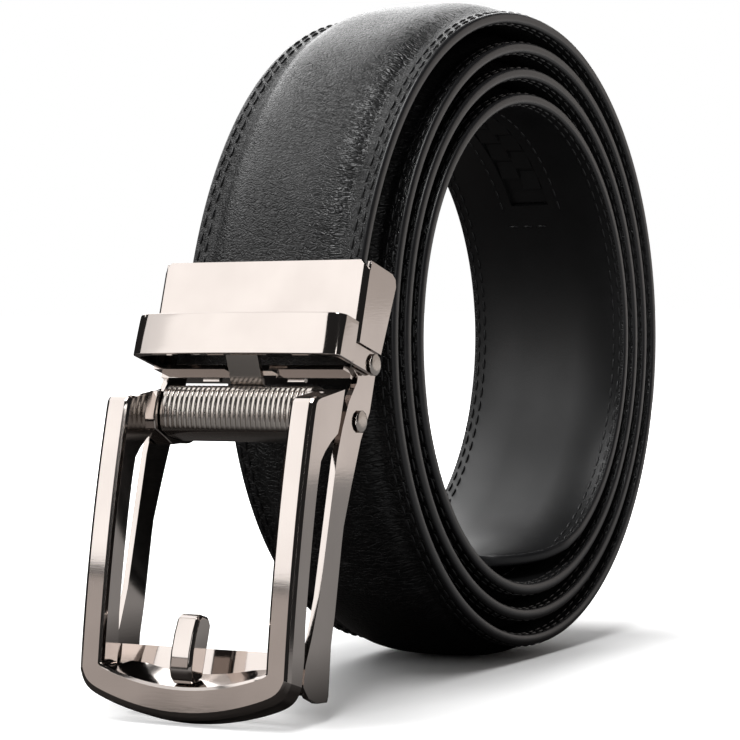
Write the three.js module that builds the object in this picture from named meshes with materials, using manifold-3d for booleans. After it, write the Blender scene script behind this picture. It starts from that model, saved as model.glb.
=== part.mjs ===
// Ratchet belt, rolled into a coil that stands on its rim, with its open-frame buckle in front.
// Millimetres. X runs along the coil's axis (the strap's width), -Y is the buckle's side, +Z is up.
// The belt stands on z = 0 on the bottom of the coil and on the lower edge of the buckle's frame.
import * as THREE from "three";
import { mergeVertices } from "three/addons/utils/BufferGeometryUtils.js";
import Module from "manifold-3d";

const wasm = await Module();
wasm.setup();

// Strap
const STRAP_WIDTH = 35;
const OUTER_THICKNESS = 1.0;
const BACKING_THICKNESS = 1.0;
const GLUE_LINE = 0.1;
const CROWN_HEIGHT = 2.35;
const TIP_LENGTH = 22;
const STRAP_END_DEPTH = 13;

// Coil: the edge of the outer leather's margin runs on a spiral, a little taller than wide
const COIL_RADIUS = 60.4;
const COIL_PITCH = 4.685;
const COIL_STRETCH = 1.037;
const COIL_END_ANGLE = 1352;
const ANGLE_STEP = 7.5;

// Run from the clamp to the coil, which it joins past the top: its pulls are shares of the coil's radius
const RUN_END_ANGLE = 101.25;
const RUN_START_SHARE = 1.755;
const RUN_END_SHARE = 1.904;
const RUN_STEPS = 16;

// Ratchet track in the backing
const TRACK_LENGTH = 240;
const TRACK_TO_TIP = 102;
const TRACK_BASE_WIDTH = 10.4;
const TRACK_BASE_THICKNESS = 0.6;
const WINDOW_WIDTH = 8.4;
const TOOTH_PITCH = 6;
const TOOTH_RUN = 4.4;
const TOOTH_HEIGHT = 0.8;
const TOOTH_ROOT = 0.2;

// Clearances
const SEAT_GAP = 0.3;
const SIDE_PLAY = 0.3;

// Buckle, measured down from the clamp's mouth and back from the clamp's front face
const BUCKLE_LEAN = 18.06;
const CLAMP_STANDOFF = 9.3;
const CLAMP_OVERHANG = 3.3;
const CLAMP_LENGTH = 14.5;
const CLAMP_DEPTH = 10.3;
const CLAMP_FOOT_DEPTH = 8.5;
const CLAMP_PLATE = 1.0;
const CLAMP_WALL = 0.8;
const CLAMP_CHAMFER = 0.85;
const CLAMP_CORNER = 1.6;
const CLAMP_BACK_CORNER = 1.8;
const STRAP_SEAT = 3.3;

const KEEPER_TOP = 11.1;
const KEEPER_BOTTOM = 18.5;
const KEEPER_REACH = 6.3;
const KEEPER_PLATE = 0.9;
const KEEPER_BEVEL = 3.4;
const KEEPER_BULGE = 0.35;
const KEEPER_TAIL = 8.7;
const KEEPER_STEP = 1.1;
const KEEPER_CORNER = 0.8;

const ARM_PLATE = 1.1;
const BASE_LENGTH = 75;
const BASE_BACK = 9.4;
const SHELF_THICKNESS = 0.8;
const SHELF_LIP = 0.4;
const WEB_DROP = 1.6;
const WEB_FRONT = 2.2;
const WEB_THICKNESS = 1.0;
const TAB_WIDTH = 3.3;
const TAB_LENGTH = 0.65;
const TAB_OFFSET = 8.6;
const CROSSBAR_HEIGHT = 6.6;
const CROSSBAR_RISE = 0.7;
const CROSSBAR_FRONT = 1.9;
const CROSSBAR_THICKNESS = 1.2;

const RIVET_HEAD_RADIUS = 1.95;
const RIVET_HEAD_HEIGHT = 0.4;
const RIVET_SHANK_RADIUS = 1.2;
const RIVET_HOLE_RADIUS = 1.5;
const UPPER_RIVET = { back: 6.4, down: 16.8 };
const PIVOT = { back: 6.4, down: 26.8 };

const FRAME_OVERHANG = 0.4;
const FRAME_LENGTH = 80.7;
const RAIL_WIDTH = 5.2;
const RAIL_DEPTH = 3.1;
const RAIL_EDGE = 0.7;
const RAIL_CHAMFER = 1.2;
const EAR_EASE = 3.4;
const FOOT_WIDTH = 5.6;
const FRAME_TOP = 23.4;
const FRAME_TOP_REACH = 10.9;
const FRAME_FOOT_REACH = 4.3;
const FRAME_BOW = 1.4;
const EAR_BACK = -1.6;
const FRAME_SAG = 4.7;
const WINDOW_SAG = 2.8;
const FOOT_CORNER = 1.6;
const FOOT_CORNER_POWER = 24;
const SCOOP_RISE = 2.8;
const SCOOP_BACK = -0.2;
const HUB_THICKNESS = 3.4;
const HUB_RADIUS = 4.3;
const HUB_STEPS = 8;

const HEEL_TOP = 22.4;
const HEEL_BOTTOM = 31.3;
const HEEL_REACH = 3.0;
const HEEL_BACK = 5.2;
const PAWL_WIDTH = 6.4;
const PAWL_THICKNESS = 1.0;
const PAWL_TIP = { back: -3.2, down: 16.8 };
const PAWL_SLOT = 9;

const PRONG_WIDTH = 4.4;
const PRONG_TOP = 63.2;
const PRONG_REACH = 6.9;
const PRONG_BACK = -2.1;
const PRONG_BEVEL = 0.5;

const JAW_AXIS = { back: 8.7, down: 2.0 };
const JAW_KNUCKLE = 1.1;
const JAW_PIN_RADIUS = 0.7;
const JAW_HOLE_RADIUS = 1.0;
const JAW_PLATE = 1.1;
const JAW_LENGTH = 12.8;
const JAW_TEETH = 5;
const JAW_TOOTH = 0.5;
const JAW_TOOTH_PITCH = 0.8;
const JAW_PIN_BITE = 0.4;
const JAW_PIN_PLAY = 0.15;

// Places that follow from the sizes
const halfStrap = STRAP_WIDTH / 2;
const strapThickness = OUTER_THICKNESS + GLUE_LINE + BACKING_THICKNESS;
const clampHalf = halfStrap + CLAMP_OVERHANG;
const clampInside = clampHalf - CLAMP_WALL;
const armOutside = clampInside - SIDE_PLAY;
const armInside = armOutside - ARM_PLATE;
const hubOutside = armInside - SIDE_PLAY;
const hubInside = hubOutside - HUB_THICKNESS;
const frameHalf = clampHalf + FRAME_OVERHANG;
const windowFoot = FRAME_LENGTH - FOOT_WIDTH;

// The coil stands on one flat of its lowest turn, half a step to each side of the bottom.
const flatShare = Math.cos(THREE.MathUtils.degToRad(ANGLE_STEP / 2));
const lowRadius = COIL_RADIUS - (COIL_PITCH * (270 - ANGLE_STEP / 2)) / 360;
const coilHeight = lowRadius * COIL_STRETCH * flatShare + CROWN_HEIGHT;

// The buckle hangs in front of the coil, so high that the lower edge of its frame just reaches the floor.
const buckleLean = THREE.MathUtils.degToRad(BUCKLE_LEAN);
const clampReach = COIL_RADIUS + CLAMP_STANDOFF;
const mouthHeight = FRAME_LENGTH * Math.cos(buckleLean) + SCOOP_BACK * Math.sin(buckleLean);

// Materials
const leather = { color: 0x161617, roughness: 0.45, metalness: 0 };
const lining = { color: 0x1b1b1c, roughness: 0.6, metalness: 0 };
const nylon = { color: 0x0d0d0e, roughness: 0.5, metalness: 0 };
const gunmetal = { color: 0x8d8682, roughness: 0.12, metalness: 1 };
const steel = { color: 0xa39a92, roughness: 0.3, metalness: 1 };

// Geometry helpers

// A closed body through rings of equal point counts, each ring counter-clockwise seen from its start.
function loft(rings, section) {
  const count = rings[0].length;
  const points = rings.flat();
  const faces = [];
  for (let i = 0; i + 1 < rings.length; i += 1) {
    for (let j = 0; j < count; j += 1) {
      const a = i * count + j;
      const b = i * count + ((j + 1) % count);
      faces.push(a, b + count, b, a, a + count, b + count);
    }
  }
  const last = (rings.length - 1) * count;
  for (const [a, b, c] of THREE.ShapeUtils.triangulateShape(section, [])) {
    faces.push(a, b, c, last + c, last + b, last + a);
  }
  const geometry = new THREE.BufferGeometry();
  geometry.setAttribute("position", new THREE.Float32BufferAttribute(points.flatMap((p) => p.toArray()), 3));
  geometry.setIndex(faces);
  return geometry;
}

function toSolid(geometry) {
  const bare = geometry.clone();
  bare.deleteAttribute("normal");
  bare.deleteAttribute("uv");
  const merged = mergeVertices(bare, 1e-4);
  return new wasm.Manifold(
    new wasm.Mesh({
      numProp: 3,
      vertProperties: new Float32Array(merged.attributes.position.array),
      triVerts: new Uint32Array(merged.index.array),
    })
  );
}

function toGeometry(solid) {
  const mesh = solid.getMesh();
  const geometry = new THREE.BufferGeometry();
  geometry.setAttribute("position", new THREE.BufferAttribute(new Float32Array(mesh.vertProperties), 3));
  geometry.setIndex(new THREE.BufferAttribute(new Uint32Array(mesh.triVerts), 1));
  return geometry;
}

function joined(...geometries) {
  return toGeometry(geometries.map(toSolid).reduce((whole, piece) => whole.add(piece)));
}

function cut(geometry, ...cutters) {
  return toGeometry(cutters.map(toSolid).reduce((whole, piece) => whole.subtract(piece), toSolid(geometry)));
}

function box(x0, x1, back0, back1, down0, down1) {
  const geometry = new THREE.BoxGeometry(x1 - x0, back1 - back0, down1 - down0);
  return geometry.translate((x0 + x1) / 2, (back0 + back1) / 2, -(down0 + down1) / 2);
}

// A side outline of [back, down] points, extruded along X from x0 to x1.
function sidePlate(outline, x0, x1, bevel = 0) {
  const shape = new THREE.Shape(outline.map(([back, down]) => new THREE.Vector2(back, -down)));
  const geometry = new THREE.ExtrudeGeometry(shape, {
    depth: x1 - x0 - 2 * bevel,
    bevelEnabled: bevel > 0,
    bevelThickness: bevel,
    bevelSize: bevel,
    bevelOffset: -bevel,
    bevelSegments: 1,
  });
  const turn = new THREE.Matrix4().makeBasis(
    new THREE.Vector3(0, 1, 0),
    new THREE.Vector3(0, 0, 1),
    new THREE.Vector3(1, 0, 0)
  );
  return geometry.translate(0, 0, bevel).applyMatrix4(turn).translate(x0, 0, 0);
}

// A round pin along X.
function pin(place, radius, x0, x1, sides = 16) {
  const geometry = new THREE.CylinderGeometry(radius, radius, x1 - x0, sides);
  return geometry.rotateZ(Math.PI / 2).translate((x0 + x1) / 2, place.back, -place.down);
}

function mesh(name, geometry, look) {
  const piece = new THREE.Mesh(geometry, new THREE.MeshStandardMaterial(look));
  piece.name = name;
  return piece;
}

// Strap path: the line of the margin's outer surface, seen from the side

function spiralPoint(angle) {
  const radius = COIL_RADIUS - (COIL_PITCH * angle) / 360;
  const turn = THREE.MathUtils.degToRad(angle);
  return new THREE.Vector2(-radius * Math.cos(turn), coilHeight + COIL_STRETCH * radius * Math.sin(turn));
}

function spiralDirection(angle) {
  return spiralPoint(angle + 0.5).sub(spiralPoint(angle - 0.5)).normalize();
}

// Position of a point of the buckle's side view in the belt's side view.
function buckleSide(back, down) {
  const sine = Math.sin(buckleLean);
  const cosine = Math.cos(buckleLean);
  return new THREE.Vector2(
    -clampReach - down * sine + back * cosine,
    mouthHeight - down * cosine - back * sine
  );
}

// Share of the full width along the tip, and of the crown at the clamp and at the tip.
const TIP_ROWS = [
  { along: 0, width: 1, crown: 1 },
  { along: 0.3, width: 0.97, crown: 0.95 },
  { along: 0.55, width: 0.86, crown: 0.85 },
  { along: 0.75, width: 0.7, crown: 0.7 },
  { along: 0.9, width: 0.5, crown: 0.5 },
  { along: 1, width: 0.28, crown: 0.35 },
];
const CLAMP_ROWS = [
  { along: 0, crown: 0.35 },
  { along: 0.5, crown: 0.6 },
  { along: 1, crown: 0.82 },
];

function strapStations() {
  const stations = [];
  const lean = new THREE.Vector2(Math.sin(buckleLean), Math.cos(buckleLean));
  for (const row of CLAMP_ROWS.slice(0, -1)) {
    const point = buckleSide(STRAP_SEAT, STRAP_END_DEPTH * (1 - row.along));
    stations.push({ point, direction: lean, width: 1, crown: row.crown });
  }
  const start = buckleSide(STRAP_SEAT, 0);
  const end = spiralPoint(RUN_END_ANGLE);
  const startPull = lean.clone().multiplyScalar(RUN_START_SHARE * COIL_RADIUS);
  const endPull = spiralDirection(RUN_END_ANGLE).multiplyScalar(RUN_END_SHARE * COIL_RADIUS);
  const mouthCrown = CLAMP_ROWS.at(-1).crown;
  for (let i = 0; i < RUN_STEPS; i += 1) {
    const t = i / RUN_STEPS;
    const point = start.clone().multiplyScalar(2 * t ** 3 - 3 * t ** 2 + 1)
      .addScaledVector(startPull, t ** 3 - 2 * t ** 2 + t)
      .addScaledVector(end, 3 * t ** 2 - 2 * t ** 3)
      .addScaledVector(endPull, t ** 3 - t ** 2);
    const direction = start.clone().multiplyScalar(6 * t ** 2 - 6 * t)
      .addScaledVector(startPull, 3 * t ** 2 - 4 * t + 1)
      .addScaledVector(end, 6 * t - 6 * t ** 2)
      .addScaledVector(endPull, 3 * t ** 2 - 2 * t)
      .normalize();
    const crown = Math.min(1, mouthCrown + (1 - mouthCrown) * 0.5 * i);
    stations.push({ point, direction, width: 1, crown });
  }
  const endRadius = COIL_RADIUS - (COIL_PITCH * COIL_END_ANGLE) / 360;
  const tipAngle = THREE.MathUtils.radToDeg(TIP_LENGTH / endRadius);
  const tipStart = COIL_END_ANGLE - tipAngle;
  for (let angle = RUN_END_ANGLE; angle < tipStart - ANGLE_STEP / 3; angle += ANGLE_STEP) {
    stations.push({ point: spiralPoint(angle), direction: spiralDirection(angle), width: 1, crown: 1 });
  }
  for (const row of TIP_ROWS) {
    const angle = tipStart + tipAngle * row.along;
    const point = spiralPoint(angle);
    stations.push({ point, direction: spiralDirection(angle), width: row.width, crown: row.crown });
  }
  let along = 0;
  stations.forEach((station, i) => {
    if (i > 0) along += station.point.distanceTo(stations[i - 1].point);
    station.along = along;
  });
  return stations;
}

const STATIONS = strapStations();
const strapLength = STATIONS.at(-1).along;
const windowEnd = strapLength - TRACK_TO_TIP;
const windowStart = windowEnd - TRACK_LENGTH;

// A point at width x and height h over the margin's surface, h measured away from the coil's axis.
function strapPoint(station, x, h) {
  const { point, direction } = station;
  return new THREE.Vector3(x, point.x - h * direction.y, point.y + h * direction.x);
}

function stationAt(along) {
  const next = STATIONS.findIndex((station) => station.along >= along);
  const b = STATIONS[Math.max(next, 1)];
  const a = STATIONS[Math.max(next, 1) - 1];
  const t = (along - a.along) / (b.along - a.along);
  return {
    point: a.point.clone().lerp(b.point, t),
    direction: a.direction.clone().lerp(b.direction, t),
  };
}

// The stations from one length along the strap to another, with both ends on the line between them.
function stretch(from, to) {
  const inner = STATIONS.filter((station) => station.along > from + 0.3 && station.along < to - 0.3);
  return [stationAt(from), ...inner, stationAt(to)];
}

// A band of a rectangular section along a stretch of the strap.
function band(stations, x0, x1, low, high) {
  const section = [[x0, low], [x1, low], [x1, high], [x0, high]];
  const rings = stations.map((station) => section.map(([x, h]) => strapPoint(station, x, h)));
  return loft(rings, section.map(([x, h]) => new THREE.Vector2(x, h)));
}

// Half of the crown's outline: shares of the half width and of the crown's height.
const CROWN_ROWS = [
  { side: 1, rise: 0 },
  { side: 0.63, rise: 0 },
  { side: 0.57, rise: 0.4 },
  { side: 0.48, rise: 0.76 },
  { side: 0.27, rise: 1 },
];

function strapOuter() {
  const right = CROWN_ROWS.map((row) => ({ side: row.side, rise: row.rise, floor: 0 }));
  const left = right.map((row) => ({ ...row, side: -row.side })).reverse();
  const outline = [{ side: -1, rise: 0, floor: 1 }, { side: 1, rise: 0, floor: 1 }, ...right, ...left];
  const place = (row, station) => [
    row.side * halfStrap * station.width,
    row.rise * CROWN_HEIGHT * station.crown - row.floor * OUTER_THICKNESS,
  ];
  const rings = STATIONS.map((station) => outline.map((row) => strapPoint(station, ...place(row, station))));
  const full = { width: 1, crown: 1 };
  const body = loft(rings, outline.map((row) => new THREE.Vector2(...place(row, full))));
  const half = TRACK_BASE_WIDTH / 2 + SEAT_GAP;
  const pocketStations = stretch(windowStart - SEAT_GAP - 1, windowEnd + SEAT_GAP + 1);
  const roof = TRACK_BASE_THICKNESS + SEAT_GAP - OUTER_THICKNESS;
  return cut(body, band(pocketStations, -half, half, -OUTER_THICKNESS - 0.5, roof));
}

function strapBacking() {
  const top = -OUTER_THICKNESS - GLUE_LINE;
  const low = -strapThickness;
  const section = [[-1, low], [1, low], [1, top], [-1, top]];
  const rings = STATIONS.map((station) =>
    section.map(([side, h]) => strapPoint(station, side * halfStrap * station.width, h))
  );
  const body = loft(rings, section.map(([side, h]) => new THREE.Vector2(side * halfStrap, h)));
  const opening = stretch(windowStart, windowEnd);
  return cut(body, band(opening, -WINDOW_WIDTH / 2, WINDOW_WIDTH / 2, low - 0.5, top + 0.5));
}

// A strip with two rows of ramped teeth, one row half a pitch behind the other.
function ratchetTrack() {
  const floor = -OUTER_THICKNESS;
  const half = TRACK_BASE_WIDTH / 2;
  const roof = floor + TRACK_BASE_THICKNESS;
  const base = band(stretch(windowStart - 1, windowEnd + 1), -half, half, floor, roof);
  const teeth = [];
  const rowWidth = WINDOW_WIDTH / 2 - SEAT_GAP;
  const rows = Math.floor((TRACK_LENGTH - TOOTH_PITCH) / TOOTH_PITCH);
  for (const side of [-1, 1]) {
    for (let i = 0; i < rows; i += 1) {
      const from = windowStart + 1.5 + TOOTH_PITCH * i + (side > 0 ? TOOTH_PITCH / 2 : 0);
      teeth.push(tooth(from, side * 0.05, side * rowWidth, floor));
    }
  }
  return joined(base, ...teeth);
}

function tooth(from, xa, xb, floor) {
  const [x0, x1] = xa < xb ? [xa, xb] : [xb, xa];
  const heel = stationAt(from);
  const toe = stationAt(from + TOOTH_RUN);
  const root = floor + TOOTH_ROOT;
  const ring = (station, low) =>
    [[x0, low], [x1, low], [x1, root], [x0, root]].map(([x, h]) => strapPoint(station, x, h));
  const section = [[0, 0], [1, 0], [1, 1], [0, 1]].map(([x, y]) => new THREE.Vector2(x, y));
  return loft([ring(heel, floor - 0.1), ring(toe, floor - TOOTH_HEIGHT)], section);
}

// Buckle pieces, in the buckle's own frame: X across, Y back, Z up the buckle

function clampBox() {
  const half = clampHalf;
  const c = CLAMP_CHAMFER;
  const channel = [
    [-half + c, 0], [half - c, 0], [half, c], [half, CLAMP_DEPTH],
    [clampInside, CLAMP_DEPTH], [clampInside, CLAMP_PLATE], [-clampInside, CLAMP_PLATE],
    [-clampInside, CLAMP_DEPTH], [-half, CLAMP_DEPTH], [-half, c],
  ];
  const shape = new THREE.Shape(channel.map(([x, back]) => new THREE.Vector2(x, back)));
  const body = new THREE.ExtrudeGeometry(shape, { depth: CLAMP_LENGTH, bevelEnabled: false });
  body.translate(0, 0, -CLAMP_LENGTH);
  const round = CLAMP_BACK_CORNER;
  const wedge = [
    [CLAMP_DEPTH + 1, -1], [CLAMP_DEPTH + 1, CLAMP_LENGTH + 1],
    [CLAMP_FOOT_DEPTH, CLAMP_LENGTH + 1], [CLAMP_FOOT_DEPTH, CLAMP_LENGTH],
    [CLAMP_DEPTH, round], [CLAMP_DEPTH - 0.3 * round, 0.3 * round], [CLAMP_DEPTH - round, 0],
    [CLAMP_DEPTH - round, -1],
  ];
  const corner = (side) => {
    const tip = new THREE.Shape([
      new THREE.Vector2(side * (half + 1), 1),
      new THREE.Vector2(side * (half - CLAMP_CORNER), 1),
      new THREE.Vector2(side * (half - CLAMP_CORNER), 0),
      new THREE.Vector2(side * half, -CLAMP_CORNER),
      new THREE.Vector2(side * (half + 1), -CLAMP_CORNER),
    ]);
    const slab = new THREE.ExtrudeGeometry(tip, { depth: CLAMP_PLATE + 2, bevelEnabled: false });
    return slab.rotateX(Math.PI / 2).translate(0, CLAMP_PLATE, 0);
  };
  const holeEnd = clampInside + JAW_PIN_BITE + JAW_PIN_PLAY;
  return cut(
    body,
    sidePlate(wedge, -half - 1, half + 1),
    corner(-1),
    corner(1),
    pin(JAW_AXIS, JAW_HOLE_RADIUS, -holeEnd, holeEnd)
  );
}

// A flap with a toothed foot that bites the strap's backing, on stub pins in the clamp's walls.
function clampJaw() {
  const half = armInside - SIDE_PLAY;
  const { back, down } = JAW_AXIS;
  const front = STRAP_SEAT + strapThickness + SEAT_GAP;
  const rear = back + JAW_PLATE / 2;
  const knuckle = pin(JAW_AXIS, JAW_KNUCKLE, -half, half);
  const pinEnd = clampInside + JAW_PIN_BITE;
  const pins = pin(JAW_AXIS, JAW_PIN_RADIUS, -pinEnd, pinEnd);
  const plateFront = back - JAW_PLATE / 2;
  const footTop = JAW_LENGTH - JAW_TEETH * JAW_TOOTH_PITCH;
  const teeth = [];
  for (let i = 0; i < JAW_TEETH; i += 1) {
    const at = footTop + JAW_TOOTH_PITCH * i;
    teeth.push([front + JAW_TOOTH, at], [front, at + JAW_TOOTH_PITCH]);
  }
  const side = [
    [plateFront, down], [plateFront, footTop - 1.5 * JAW_PLATE], ...teeth,
    [rear - JAW_PLATE, JAW_LENGTH], [rear - JAW_PLATE / 2, footTop],
    [rear, footTop - 2 * JAW_PLATE], [rear, down],
  ];
  return joined(knuckle, pins, sidePlate(side, -half, half));
}

function keeperLoop() {
  const half = clampHalf;
  const front = -KEEPER_REACH;
  const bevelBack = front + KEEPER_STEP;
  const fillet = [half - 0.45 * KEEPER_BEVEL, front + KEEPER_BULGE + 0.2 * KEEPER_STEP];
  const bar = [
    [-half, bevelBack], [-fillet[0], fillet[1]], [-half + KEEPER_BEVEL, front + KEEPER_BULGE], [0, front],
    [half - KEEPER_BEVEL, front + KEEPER_BULGE], fillet, [half, bevelBack],
    [half, -SEAT_GAP], [clampInside, -SEAT_GAP], [clampInside, bevelBack + KEEPER_PLATE],
    [half - KEEPER_BEVEL, front + KEEPER_PLATE], [-half + KEEPER_BEVEL, front + KEEPER_PLATE],
    [-clampInside, bevelBack + KEEPER_PLATE], [-clampInside, -SEAT_GAP], [-half, -SEAT_GAP],
  ];
  const shape = new THREE.Shape(bar.map(([x, back]) => new THREE.Vector2(x, back)));
  const loop = new THREE.ExtrudeGeometry(shape, { depth: KEEPER_BOTTOM - KEEPER_TOP, bevelEnabled: false });
  loop.translate(0, 0, -KEEPER_BOTTOM);
  const shoulder = CLAMP_LENGTH + SEAT_GAP;
  const middle = (shoulder + KEEPER_BOTTOM) / 2;
  const c = KEEPER_CORNER;
  const tail = [
    [-1, shoulder], [KEEPER_TAIL - 1.8 * c, shoulder], [KEEPER_TAIL - c / 2, shoulder + c],
    [KEEPER_TAIL, middle],
    [KEEPER_TAIL - c / 2, KEEPER_BOTTOM - c], [KEEPER_TAIL - 1.8 * c, KEEPER_BOTTOM], [-1, KEEPER_BOTTOM],
  ];
  const whole = joined(loop, sidePlate(tail, clampInside, half), sidePlate(tail, -half, -clampInside));
  return cut(whole, pin(UPPER_RIVET, RIVET_HOLE_RADIUS, -half - 1, half + 1));
}

// Outline of the base's arms: shares of the arm's depth and of the base's length.
const ARM_ROWS = [
  { back: 0.42, down: 0.075 },
  { back: 0.42, down: 0.245 },
  { back: 0.14, down: 0.248 },
  { back: 0.4, down: 0.262 },
  { back: 0.4, down: 0.275 },
  { back: 0.22, down: 0.327 },
  { back: 0.13, down: 0.39 },
  { back: 0.09, down: 0.46 },
  { back: 0.14, down: 0.62 },
  { back: 0.19, down: 0.775 },
  { back: 0.14, down: 0.86 },
  { back: 0.06, down: 0.93 },
  { back: 0.09, down: 0.976 },
  { back: 0.32, down: 0.996 },
  { back: 0.65, down: 1 },
  { back: 0.97, down: 0.99 },
  { back: 0.98, down: 0.975 },
  { back: 0.82, down: 0.865 },
  { back: 0.8, down: 0.8 },
  { back: 0.68, down: 0.64 },
  { back: 0.66, down: 0.6 },
  { back: 0.72, down: 0.51 },
  { back: 0.82, down: 0.395 },
  { back: 0.99, down: 0.325 },
  { back: 1, down: 0.22 },
  { back: 0.98, down: 0.075 },
];

function baseFrame() {
  const outline = ARM_ROWS.map((row) => [row.back * BASE_BACK, row.down * BASE_LENGTH]);
  const arms = [-1, 1].map((side) => {
    const [x0, x1] = side > 0 ? [armInside, armOutside] : [-armOutside, -armInside];
    return sidePlate(outline, x0, x1);
  });
  const inside = armInside + ARM_PLATE / 2;
  const shelfTop = KEEPER_BOTTOM + SEAT_GAP;
  const shelfBottom = shelfTop + SHELF_THICKNESS;
  const shelf = box(-inside, inside, -SHELF_LIP, BASE_BACK - 0.6, shelfTop, shelfBottom);
  const webBottom = shelfTop + WEB_DROP;
  const web = box(-inside, inside, WEB_FRONT, WEB_FRONT + WEB_THICKNESS, shelfTop, webBottom);
  const barBottom = BASE_LENGTH - CROSSBAR_RISE;
  const barBack = CROSSBAR_FRONT + CROSSBAR_THICKNESS;
  const crossbar = box(-inside, inside, CROSSBAR_FRONT, barBack, barBottom - CROSSBAR_HEIGHT, barBottom);
  const tabs = [-1, 1].map((side) => {
    const middle = side * TAB_OFFSET;
    const half = TAB_WIDTH / 2;
    const tabBottom = webBottom + TAB_LENGTH;
    return box(middle - half, middle + half, WEB_FRONT, WEB_FRONT + WEB_THICKNESS, shelfTop, tabBottom);
  });
  const whole = joined(...arms, shelf, web, ...tabs, crossbar);
  return cut(
    whole,
    box(-PAWL_SLOT / 2, PAWL_SLOT / 2, -2, WEB_FRONT + WEB_THICKNESS + 0.2, shelfTop - 1, webBottom + 1),
    pin(UPPER_RIVET, RIVET_HOLE_RADIUS, -clampInside, clampInside),
    pin(PIVOT, RIVET_HOLE_RADIUS, -clampInside, clampInside)
  );
}

// Domed head and shank, turned about X; the head looks outwards on its side.
function rivet(name, place, side, shankFrom, headFrom) {
  const r = RIVET_HEAD_RADIUS;
  const h = RIVET_HEAD_HEIGHT;
  const profile = [
    [0, shankFrom], [RIVET_SHANK_RADIUS, shankFrom], [RIVET_SHANK_RADIUS, headFrom], [r, headFrom],
    [r, headFrom + 0.35 * h], [0.8 * r, headFrom + 0.75 * h], [0.45 * r, headFrom + h], [0, headFrom + h],
  ];
  const geometry = new THREE.LatheGeometry(profile.map(([x, y]) => new THREE.Vector2(x, y)), 12);
  geometry.rotateZ((-side * Math.PI) / 2).translate(0, place.back, -place.down);
  return mesh(name, mergeVertices(stripped(geometry), 1e-4), steel);
}

function stripped(geometry) {
  geometry.deleteAttribute("normal");
  geometry.deleteAttribute("uv");
  return geometry;
}

// The frame's rail from the ear's top down. The drops are shares of the way from there to the foot, ear
// is the share of the way from the rail's back to the ear's, and top eases the face where the ear starts.
const FRAME_ROWS = [
  { innerDrop: 0, outerDrop: 0, top: 1, ear: 1, scoop: 0 },
  { innerDrop: 0.06, outerDrop: 0.06, top: 0.3, ear: 1, scoop: 0 },
  { innerDrop: 0.13, outerDrop: 0.13, top: 0, ear: 1, scoop: 0 },
  { innerDrop: 0.18, outerDrop: 0.18, top: 0, ear: 0.42, scoop: 0 },
  { innerDrop: 0.23, outerDrop: 0.23, top: 0, ear: 0.05, scoop: 0 },
  { innerDrop: 0.31, outerDrop: 0.31, top: 0, ear: 0, scoop: 0 },
  { innerDrop: 0.43, outerDrop: 0.43, top: 0, ear: 0, scoop: 0 },
  { innerDrop: 0.56, outerDrop: 0.56, top: 0, ear: 0, scoop: 0 },
  { innerDrop: 0.7, outerDrop: 0.7, top: 0, ear: 0, scoop: 0 },
  { innerDrop: 0.8, outerDrop: 0.81, top: 0, ear: 0, scoop: 0.15 },
];

// The curved foot from its corner to the middle: shares of the window's and of the frame's half width.
const FOOT_ROWS = [
  { inner: 1, outer: 0.995, scoop: 0.1 },
  { inner: 0.97, outer: 0.95, scoop: 0.4 },
  { inner: 0.86, outer: 0.82, scoop: 0.8 },
  { inner: 0.66, outer: 0.62, scoop: 1 },
  { inner: 0.34, outer: 0.32, scoop: 1 },
  { inner: 0, outer: 0, scoop: 1 },
];

// Points of the frame's section: across from the window's edge to the outside, back from the face.
const RAIL_ROWS = [
  { across: 0, face: RAIL_EDGE, depth: 0 },
  { across: 0.1, face: 0, depth: 0 },
  { across: 0.62, face: 0, depth: 0 },
  { across: 1, face: RAIL_CHAMFER, depth: 0 },
  { across: 1, face: 0, depth: 1 },
  { across: 0, face: 0, depth: 1 },
];

// How far back the frame's bowed front face lies at a length down the buckle.
function frameFace(down) {
  const t = THREE.MathUtils.clamp((down - FRAME_TOP) / (FRAME_LENGTH - FRAME_TOP), 0, 1);
  const straight = THREE.MathUtils.lerp(-FRAME_TOP_REACH, -FRAME_FOOT_REACH, t);
  return straight - FRAME_BOW * 4 * t * (1 - t);
}

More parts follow.
